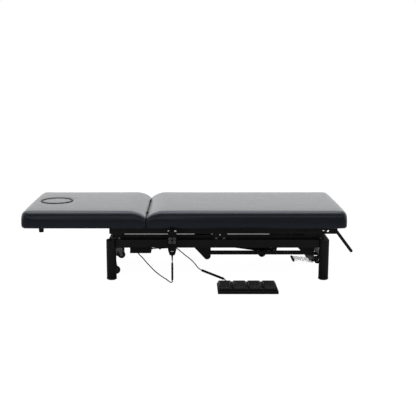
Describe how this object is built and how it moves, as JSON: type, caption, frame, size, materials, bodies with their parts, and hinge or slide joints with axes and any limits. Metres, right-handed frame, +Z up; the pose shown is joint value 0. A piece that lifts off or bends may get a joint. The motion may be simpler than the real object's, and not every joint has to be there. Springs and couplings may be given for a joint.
{
  "type": "treatment bed",
  "caption": "Height-adjustable padded treatment bed with a hinged head section, face opening, hand control, floor pedal unit and pedal-lowered castors.",
  "frame": {"origin": "on the floor, under the middle of the bounding box of the whole object, bed down and flat", "axes": "+X from the head end to the foot end, +Y from the control side to the far side, +Z up"},
  "size_m": [2.0034, 0.987, 0.4375],
  "materials": {
    "frame_paint": "black powder coat, fine texture",
    "zinc": "zinc plated, satin",
    "rod_steel": "polished",
    "upholstery": "anthracite leatherette, fine grain",
    "plywood": "birch plywood",
    "black_plastic": "fine texture",
    "black_rubber": "matt",
    "grey_buttons": "satin",
    "tyre": "matt",
    "grey_metal": "light grey",
    "cable": "satin cable jacket"
  },
  "bodies": {
    "base": {"base_side_rails": "frame_paint", "base_cross_tubes": "frame_paint", "legs": "frame_paint", "leg_end_plugs": "black_rubber", "base_pivot_plates": "frame_paint", "base_pivot_bolts": "zinc", "actuator_beam": "frame_paint", "control_box": "black_plastic", "handset_holder": "frame_paint", "handset_body": "black_plastic", "handset_cord_curl": "cable", "handset_cord_lead": "cable", "floor_unit_tray": "black_plastic", "floor_cord_curl": "cable", "floor_cord_lead": "cable", "cable_clips": "black_plastic", "pedal_bracket": "frame_paint"},
    "head_arms": {"head_arm_tubes": "frame_paint", "head_torsion_tube": "frame_paint", "head_crank_plates": "frame_paint"},
    "foot_arms": {"foot_arm_tubes": "frame_paint", "foot_torsion_tube": "frame_paint", "foot_crank_plates": "frame_paint"},
    "tie": {"tie_bars": "frame_paint"},
    "top_frame": {"top_side_rails": "frame_paint", "top_cross_tubes": "frame_paint", "top_pivot_plates": "frame_paint", "top_pivot_bolts": "zinc", "seat_board": "plywood", "seat_cushion": "upholstery", "paper_roll_arms": "frame_paint"},
    "roll_bar": {"paper_roll_bar": "frame_paint"},
    "lift_motor": {"lift_actuator": "black_plastic"},
    "lift_rod": {"lift_push_rod": "rod_steel"},
    "back_motor": {"back_actuator": "black_plastic"},
    "back_rod": {"back_push_rod": "rod_steel"},
    "backrest": {"back_side_tubes": "frame_paint", "back_cross_tubes": "frame_paint", "back_board": "plywood", "back_cushion": "upholstery", "back_bumpers": "black_rubber"},
    "face_cushion": {"face_plug": "upholstery"},
    "castor_carrier": {"castor_frame": "frame_paint"},
    "pedal": {"castor_pedal": "grey_metal"},
    "near_head_fork": {"near_head_castor_fork": "zinc"},
    "near_head_wheel": {"near_head_castor_wheel": "tyre"},
    "far_head_fork": {"far_head_castor_fork": "zinc"},
    "far_head_wheel": {"far_head_castor_wheel": "tyre"},
    "near_foot_fork": {"near_foot_castor_fork": "zinc"},
    "near_foot_wheel": {"near_foot_castor_wheel": "tyre"},
    "far_foot_fork": {"far_foot_castor_fork": "zinc"},
    "far_foot_wheel": {"far_foot_castor_wheel": "tyre"},
    "bed_up_key": {"bed_up_button": "grey_buttons"},
    "bed_down_key": {"bed_down_button": "grey_buttons"},
    "back_up_key": {"back_up_button": "grey_buttons"},
    "back_down_key": {"back_down_button": "grey_buttons"},
    "floor_pad_1_body": {"floor_pad_1": "black_plastic"},
    "floor_pad_2_body": {"floor_pad_2": "black_plastic"},
    "floor_pad_3_body": {"floor_pad_3": "black_plastic"},
    "floor_pad_4_body": {"floor_pad_4": "black_plastic"}
  },
  "joints": [
    {"name": "bed_lift", "type": "hinge", "parent": "base", "child": "head_arms", "pos_m": [0.16825, 0.1185, 0.248], "axis": [0, 1, 0], "range_deg": [0, 53.2]},
    {"name": "foot_arm_turn", "type": "hinge", "parent": "base", "child": "foot_arms", "pos_m": [0.80925, 0.1185, 0.248], "axis": [0, 1, 0], "range_deg": [0, 53.2]},
    {"name": "top_turn", "type": "hinge", "parent": "head_arms", "child": "top_frame", "pos_m": [-0.42575, 0.1185, 0.248], "axis": [0, 1, 0], "range_deg": [-53.2, 0]},
    {"name": "tie_turn", "type": "hinge", "parent": "head_arms", "child": "tie", "pos_m": [0.11425, 0.1185, 0.146], "axis": [0, 1, 0], "range_deg": [-53.2, 0]},
    {"name": "lift_motor_turn", "type": "hinge", "parent": "base", "child": "lift_motor", "pos_m": [0.55325, 0.1185, 0.112], "axis": [0, 1, 0], "range_deg": [0, 4.4]},
    {"name": "lift_rod_turn", "type": "hinge", "parent": "head_arms", "child": "lift_rod", "pos_m": [0.14825, 0.1185, 0.168], "axis": [0, 1, 0], "range_deg": [-48.9, 0]},
    {"name": "back_lift", "type": "hinge", "parent": "top_frame", "child": "backrest", "pos_m": [-0.25475, 0.1185, 0.398], "axis": [0, 1, 0], "range_deg": [0, 60]},
    {"name": "back_motor_turn", "type": "hinge", "parent": "top_frame", "child": "back_motor", "pos_m": [0.07825, 0.1185, 0.252], "axis": [0, 1, 0], "range_deg": [0, 10.5]},
    {"name": "back_rod_turn", "type": "hinge", "parent": "backrest", "child": "back_rod", "pos_m": [-0.27975, 0.1185, 0.252], "axis": [0, 1, 0], "range_deg": [-49.6, 0]},
    {"name": "face_cushion_out", "type": "slide", "parent": "backrest", "child": "face_cushion", "axis": [0, 0, 1], "range_m": [0, 0.11]},
    {"name": "roll_bar_spin", "type": "hinge", "parent": "top_frame", "child": "roll_bar", "pos_m": [0.98425, 0.1185, 0.1885], "axis": [0, 1, 0], "continuous": true},
    {"name": "pedal_press", "type": "hinge", "parent": "base", "child": "pedal", "pos_m": [0.80825, -0.0015, 0.078], "axis": [0, 1, 0], "range_deg": [-22, 0]},
    {"name": "castor_drop", "type": "slide", "parent": "base", "child": "castor_carrier", "axis": [0, 0, 1], "range_m": [-0.0125, 0]},
    {"name": "near_head_swivel", "type": "hinge", "parent": "castor_carrier", "child": "near_head_fork", "pos_m": [-0.47275, -0.0765, 0.1], "axis": [0, 0, 1], "continuous": true},
    {"name": "near_head_roll", "type": "hinge", "parent": "near_head_fork", "child": "near_head_wheel", "pos_m": [-0.45475, -0.0765, 0.032], "axis": [0, 1, 0], "continuous": true},
    {"name": "far_head_swivel", "type": "hinge", "parent": "castor_carrier", "child": "far_head_fork", "pos_m": [-0.47275, 0.3135, 0.1], "axis": [0, 0, 1], "continuous": true},
    {"name": "far_head_roll", "type": "hinge", "parent": "far_head_fork", "child": "far_head_wheel", "pos_m": [-0.45475, 0.3135, 0.032], "axis": [0, 1, 0], "continuous": true},
    {"name": "near_foot_swivel", "type": "hinge", "parent": "castor_carrier", "child": "near_foot_fork", "pos_m": [0.82625, -0.0765, 0.1], "axis": [0, 0, 1], "continuous": true},
    {"name": "near_foot_roll", "type": "hinge", "parent": "near_foot_fork", "child": "near_foot_wheel", "pos_m": [0.84425, -0.0765, 0.032], "axis": [0, 1, 0], "continuous": true},
    {"name": "far_foot_swivel", "type": "hinge", "parent": "castor_carrier", "child": "far_foot_fork", "pos_m": [0.82625, 0.3135, 0.1], "axis": [0, 0, 1], "continuous": true},
    {"name": "far_foot_roll", "type": "hinge", "parent": "far_foot_fork", "child": "far_foot_wheel", "pos_m": [0.80825, 0.3135, 0.032], "axis": [0, 1, 0], "continuous": true},
    {"name": "bed_up_press", "type": "slide", "parent": "base", "child": "bed_up_key", "axis": [0, 1, 0], "range_m": [0, 0.001], "stiffness_N_per_m": 800, "springref_m": -0.001},
    {"name": "bed_down_press", "type": "slide", "parent": "base", "child": "bed_down_key", "axis": [0, 1, 0], "range_m": [0, 0.001], "stiffness_N_per_m": 800, "springref_m": -0.001},
    {"name": "back_up_press", "type": "slide", "parent": "base", "child": "back_up_key", "axis": [0, 1, 0], "range_m": [0, 0.001], "stiffness_N_per_m": 800, "springref_m": -0.001},
    {"name": "back_down_press", "type": "slide", "parent": "base", "child": "back_down_key", "axis": [0, 1, 0], "range_m": [0, 0.001], "stiffness_N_per_m": 800, "springref_m": -0.001},
    {"name": "floor_pad_1_press", "type": "slide", "parent": "base", "child": "floor_pad_1_body", "axis": [0, 0, -1], "range_m": [0, 0.004], "stiffness_N_per_m": 2500, "springref_m": -0.003},
    {"name": "floor_pad_2_press", "type": "slide", "parent": "base", "child": "floor_pad_2_body", "axis": [0, 0, -1], "range_m": [0, 0.004], "stiffness_N_per_m": 2500, "springref_m": -0.003},
    {"name": "floor_pad_3_press", "type": "slide", "parent": "base", "child": "floor_pad_3_body", "axis": [0, 0, -1], "range_m": [0, 0.004], "stiffness_N_per_m": 2500, "springref_m": -0.003},
    {"name": "floor_pad_4_press", "type": "slide", "parent": "base", "child": "floor_pad_4_body", "axis": [0, 0, -1], "range_m": [0, 0.004], "stiffness_N_per_m": 2500, "springref_m": -0.003}
  ],
  "couplings": [
    {"joint": "foot_arm_turn", "follows": "bed_lift", "ratio": 1},
    {"joint": "top_turn", "follows": "bed_lift", "ratio": -1},
    {"joint": "tie_turn", "follows": "bed_lift", "ratio": -1},
    {"joint": "lift_motor_turn", "follows": "bed_lift", "ratio": 0.0818},
    {"joint": "lift_rod_turn", "follows": "bed_lift", "ratio": -0.9182},
    {"joint": "back_motor_turn", "follows": "back_lift", "ratio": 0.1742},
    {"joint": "back_rod_turn", "follows": "back_lift", "ratio": -0.8258},
    {"joint": "castor_drop", "follows": "pedal_press", "m_per_rad": 0.0323}
  ]
}
